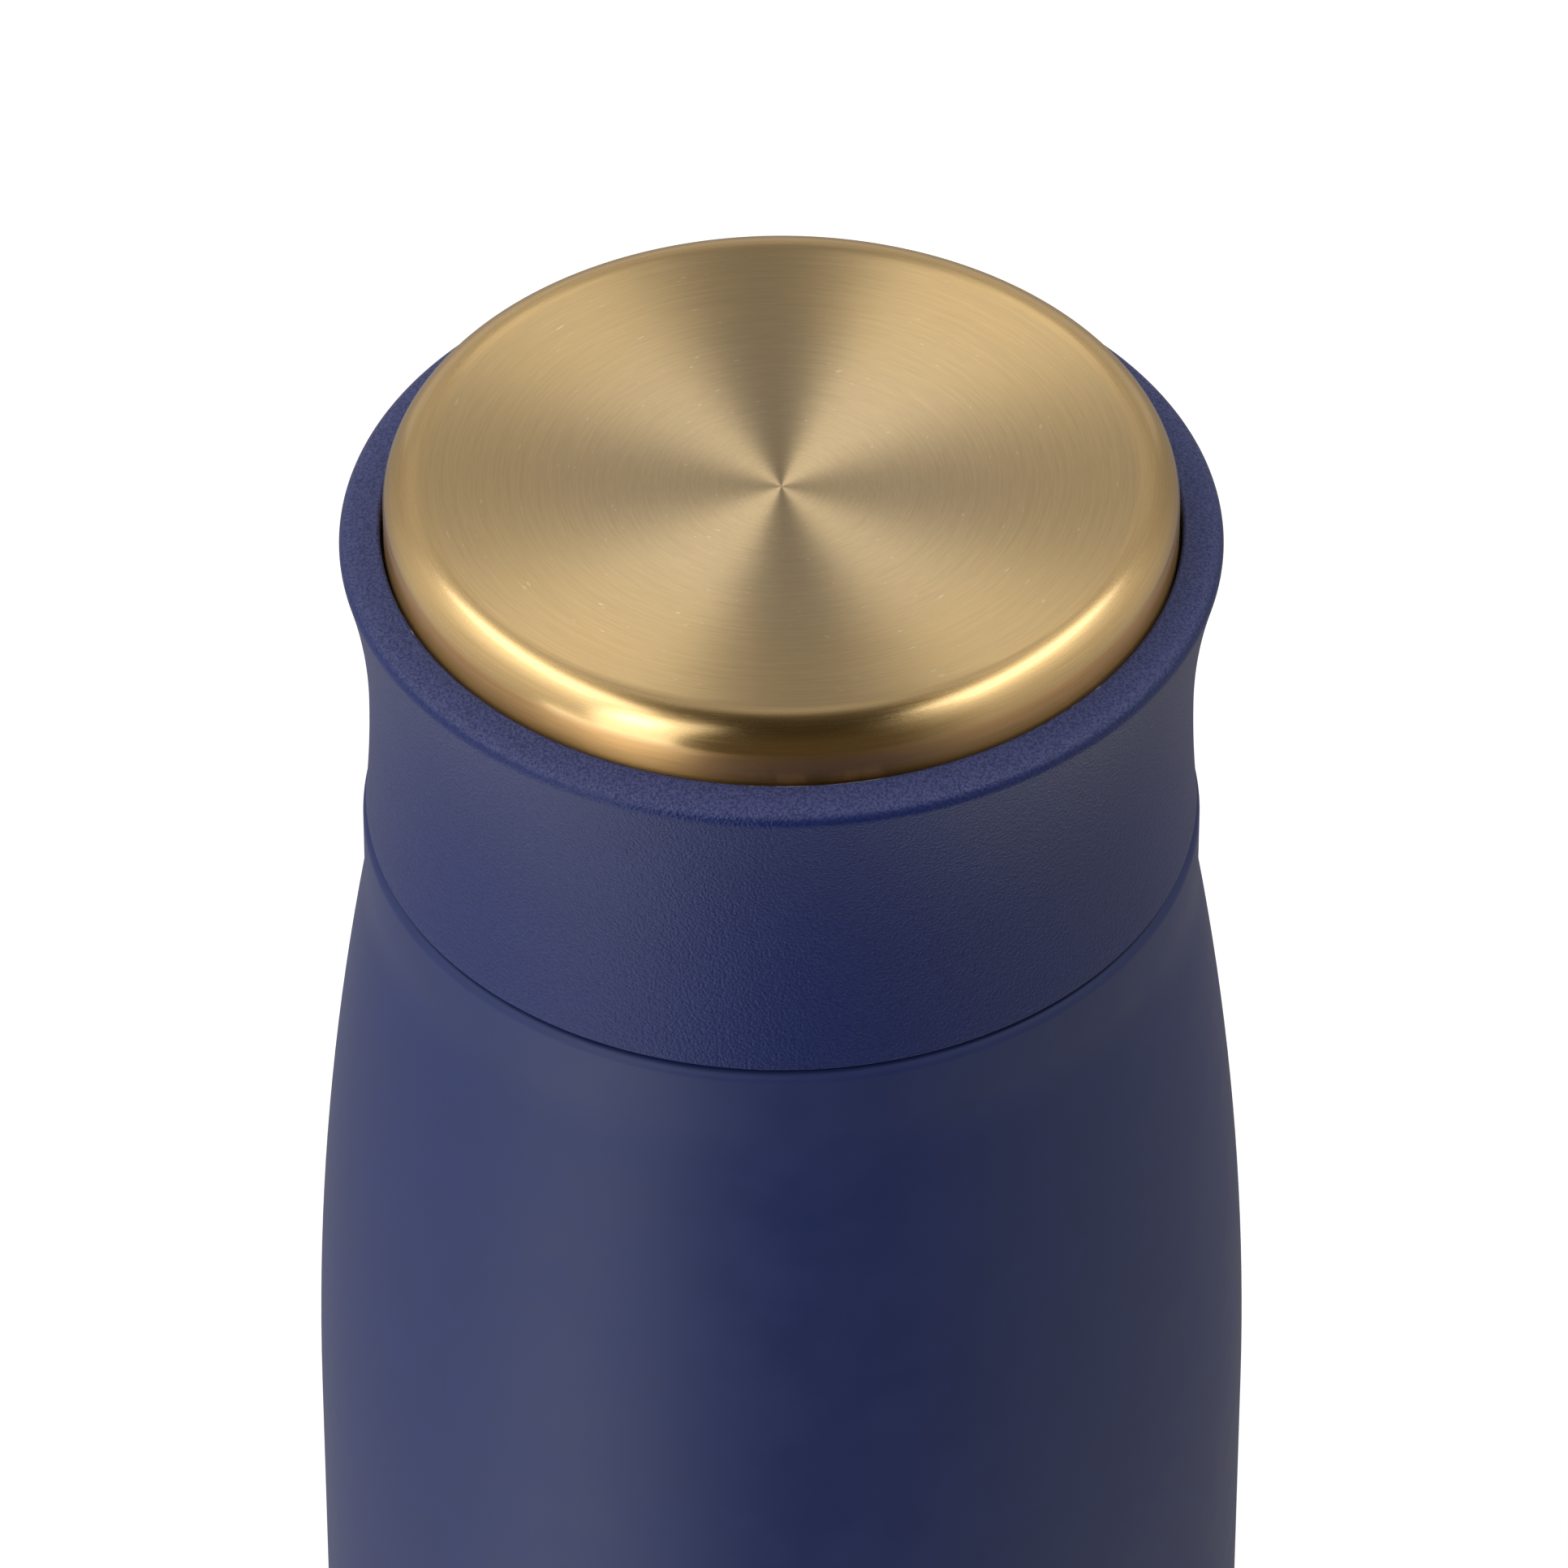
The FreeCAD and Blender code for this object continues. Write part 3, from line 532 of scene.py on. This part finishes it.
def plain(name, red, green, blue, roughness, metallic=0.0, grain=3000.0, depth=0.02 * MM,
          contrast=0.12):
    """Moulded or cast surface with a little grain and uneven tone."""
    m = Finish(name, Roughness=roughness, Metallic=metallic)
    speckle = m.noise(m.position(), grain, 3.0, 0.6)
    light, dark = 1 + contrast, 1 - contrast
    m.link("Base Color", m.mix(speckle, colour(red * dark, green * dark, blue * dark),
                               colour(red * light, green * light, blue * light)))
    m.link("Normal", m.bump(speckle, depth, 0.5))
    return m.material


# ---- pieces ------------------------------------------------------------------------------------
BARE_ABOVE = LEDGE - 0.05 * MM          # the shell is bare steel above this height, and
BARE_WITHIN = NECK_RADIUS + 1.5 * MM    # within this radius, as the paint stops on the ledge


def build():
    brass, plastic, paint, steel = brass_plate(), navy_plastic(), navy_paint(), bare_steel()
    inner_plastic = plain("inner_plastic", 0.11, 0.12, 0.15, 0.4)
    lathe("brass_lid_plate", plate_outline(), [brass], "lid", "brass_plate", "lid_plate")
    lathe("navy_lid_collar", collar_outline(), [plastic], "lid", "navy_plastic", "lid_collar")
    body = lathe("painted_shell", shell_outline(), [paint, steel], "bottle", "navy_paint",
                 "outer_shell")
    for face in body.data.polygons:
        bare = face.center.z > BARE_ABOVE and face.center.xy.length < BARE_WITHIN
        face.material_index = 1 if bare else 0
    thread_ridge("neck_thread", NECK_RADIUS, THREAD_TURNS, THREAD_START, steel, "bottle",
                 "bare_steel")
    foam = plain("foam", 0.9, 0.9, 0.88, 0.9, 0.0, 600.0, 0.3 * MM)
    cad_materials = {
        "inner_flask": steel, "outer_base": steel, "getter_tray": steel,
        "lid_liner": inner_plastic, "stopper_cup": inner_plastic,
        "stopper_foam": foam, "lid_foam": foam,
        "copper_foil": plain("copper", 0.72, 0.34, 0.2, 0.3, 1.0, 800.0),
        "vacuum_seal": plain("seal_alloy", 0.45, 0.45, 0.44, 0.4, 1.0, 2000.0),
        "getter_pill": plain("getter_metal", 0.22, 0.21, 0.2, 0.7, 1.0, 6000.0),
        "base_pad": plain("navy_rubber", 0.03, 0.04, 0.09, 0.7, 0.0, 5000.0),
        "plate_tape": plain("tape", 0.75, 0.75, 0.73, 0.7, 0.0, 4000.0),
        "lid_gasket": plain("silicone", 0.78, 0.78, 0.76, 0.45, 0.0, 2500.0, 0.01 * MM, 0.04),
    }
    for node, material in cad_materials.items():
        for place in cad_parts[node].material_slots:
            place.material = material


# ---- camera ------------------------------------------------------------------------------------
CAMERA_PITCH = math.radians(41.11)
CAMERA_LENS = 297.9                      # mm
CAMERA_SENSOR = 36.0                     # mm
CAMERA_DISTANCE = 972.1 * MM             # to the plate's middle, along the lens
CAMERA_RAISE = -22.3 * MM                # across the lens, upwards
CAMERA_SIDE = 0.2 * MM
CAMERA_CLIP = 50 * MM


def add_camera():
    forward = Vector((0, math.cos(CAMERA_PITCH), -math.sin(CAMERA_PITCH)))
    upward = Vector((0, math.sin(CAMERA_PITCH), math.cos(CAMERA_PITCH)))
    middle = Vector((0, 0, CREST - PLATE_DISH))
    data = bpy.data.cameras.new("camera")
    data.lens = CAMERA_LENS
    data.sensor_width = CAMERA_SENSOR
    data.clip_start = CAMERA_CLIP
    camera = bpy.data.objects.new("camera", data)
    camera.location = (middle - forward * CAMERA_DISTANCE + upward * CAMERA_RAISE
                       + Vector((CAMERA_SIDE, 0, 0)))
    camera.rotation_euler = (math.pi / 2 - CAMERA_PITCH, 0, 0)
    bpy.context.scene.collection.objects.link(camera)
    bpy.context.scene.camera = camera


# ---- light -------------------------------------------------------------------------------------
PANEL_DISTANCE = 1.3        # from the plate's crest
STRIP_RISE = 1.0            # above the crest
STRIP_ACROSS = 0.525        # to either side of the bottle
STRIP_BACK = 0.25
STRIP_WIDTH = 0.34
STRIP_LENGTH = 1.0
STRIP_RADIANCE = 2.85
PANELS = {                  # azimuth, elevation, width and height in degrees, and radiance
    "key_panel": (-38, 20, 24, 80, 1.4),
    "key_core": (-40, 31, 11, 28, 2.4),
    "low_key_panel": (-46, -38, 36, 45, 1.2),
    "back_panel": (180, 15, 60, 20, 0.25),
}


def add_light(name, place, wide, tall, radiance):
    """Rectangular light that faces down and that the camera doesn't see."""
    data = bpy.data.lights.new(name, "AREA")
    data.shape = "RECTANGLE"
    data.size, data.size_y = wide, tall
    data.energy = radiance * math.pi * wide * tall
    light = bpy.data.objects.new(name, data)
    light.location = place
    light.visible_camera = False
    bpy.context.scene.collection.objects.link(light)
    return light


def add_panel(name, azimuth, elevation, wide, tall, radiance):
    """Soft panel that faces the lid and fills wide by tall degrees of the view from there.

    Azimuth 0 is in front of the bottle, and 90 on its right.
    """
    a, e = math.radians(azimuth), math.radians(elevation)
    towards = Vector((math.sin(a) * math.cos(e), -math.cos(a) * math.cos(e), math.sin(e)))
    light = add_light(name, Vector((0, 0, CREST)) + towards * PANEL_DISTANCE,
                      2 * PANEL_DISTANCE * math.tan(math.radians(wide) / 2),
                      2 * PANEL_DISTANCE * math.tan(math.radians(tall) / 2), radiance)
    light.rotation_mode = "QUATERNION"
    light.rotation_quaternion = towards.to_track_quat("Z", "Y")


def add_lights():
    """Two ceiling strips that run front to back, then the panels."""
    for name, across in (("left_strip", -STRIP_ACROSS), ("right_strip", STRIP_ACROSS)):
        add_light(name, (across, STRIP_BACK, CREST + STRIP_RISE), STRIP_WIDTH, STRIP_LENGTH,
                  STRIP_RADIANCE)
    for name, panel in PANELS.items():
        add_panel(name, *panel)


# ---- floor and world ---------------------------------------------------------------------------
FLOOR_REACH = 6.0
FLOOR_DROP = 0.05 * MM      # keeps the floor's face off the rubber pad's
FLOOR_GLOW = 0.44

# The room's radiance by direction. A fade runs between two cosines, from straight ahead, from the
# right or from straight up.
ROOM_COLOUR = colour(1.0, 0.78, 0.5)
ROOM_LOW, ROOM_HIGH, ROOM_FADE = 0.08, 0.035, (0.3, 0.8)
WALL_FOOT, WALL_MIDDLE, WALL_TOP = 0.42, 0.6, 1.15
LOWER_WALL, UPPER_WALL, WALL_END = (-0.8, 0.3), (0.3, 0.75), (0.78, 0.9)
FRONT_FADE = (0.5, 0.92)
BACK_SHARE, BACK_FADE = 0.45, (-0.85, -0.3)
RIGHT_SHARE, RIGHT_FADE = 0.76, (-0.5, 0.5)
TABLE_RADIANCE, TABLE_FADE = 0.8, (-0.97, -0.75)
TABLE_FRONT_SHARE = 0.15


def add_floor():
    side = FLOOR_REACH
    mesh = bpy.data.meshes.new("floor")
    mesh.from_pydata([(-side, -side, 0), (side, -side, 0), (side, side, 0), (-side, side, 0)], [],
                     [(0, 1, 2, 3)])
    floor = bpy.data.objects.new("floor", mesh)
    m = Finish("floor", Roughness=0.9, Base_Color=colour(0.9, 0.9, 0.9),
               Emission_Color=colour(1, 1, 1), Emission_Strength=FLOOR_GLOW)
    mesh.materials.append(m.material)
    floor.location.z = -FLOOR_DROP
    bpy.context.scene.collection.objects.link(floor)
    floor.visible_glossy = False
    floor.visible_diffuse = False
    floor.visible_shadow = False


def add_world():
    """A dark, warm room in front and overhead, with pale walls at the sides and behind."""
    world = bpy.data.worlds.new("studio")
    world.use_nodes = True
    m = Nodes(world.node_tree)
    x, y, z = m.parts(m.add("TexCoord").outputs["Generated"])
    level = m.math("MAXIMUM", m.length(x, y), 1e-4)
    ahead = m.over(m.times(y, -1.0), level)
    right = m.over(x, level)
    off_front = m.ramp(ahead, *FRONT_FADE, 1.0, 0.0)
    off_back = m.ramp(ahead, *BACK_FADE, BACK_SHARE, 1.0)
    off_right = m.ramp(right, *RIGHT_FADE, 1.0, RIGHT_SHARE)
    wall = m.plus(m.ramp(z, *LOWER_WALL, WALL_FOOT, WALL_MIDDLE),
                  m.ramp(z, *UPPER_WALL, 0.0, WALL_TOP - WALL_MIDDLE))
    wall = m.times(wall, m.ramp(z, *WALL_END, 1.0, 0.0))
    wall = m.times(wall, m.times(m.times(off_front, off_back), off_right))
    table = m.times(m.ramp(z, *TABLE_FADE, TABLE_RADIANCE, 0.0),
                    m.ramp(off_front, 0.0, 1.0, TABLE_FRONT_SHARE, 1.0))
    pale = m.plus(wall, table)
    strength = m.plus(pale, m.ramp(z, *ROOM_FADE, ROOM_LOW, ROOM_HIGH))
    background = m.tree.nodes["Background"]
    m.put(background.inputs["Strength"], strength)
    m.put(background.inputs["Color"], m.mix(m.over(pale, strength), ROOM_COLOUR,
                                            colour(1, 1, 1)))
    bpy.context.scene.world = world


build()
add_camera()
add_floor()
add_world()
add_lights()
bpy.context.scene.view_settings.view_transform = "Standard"
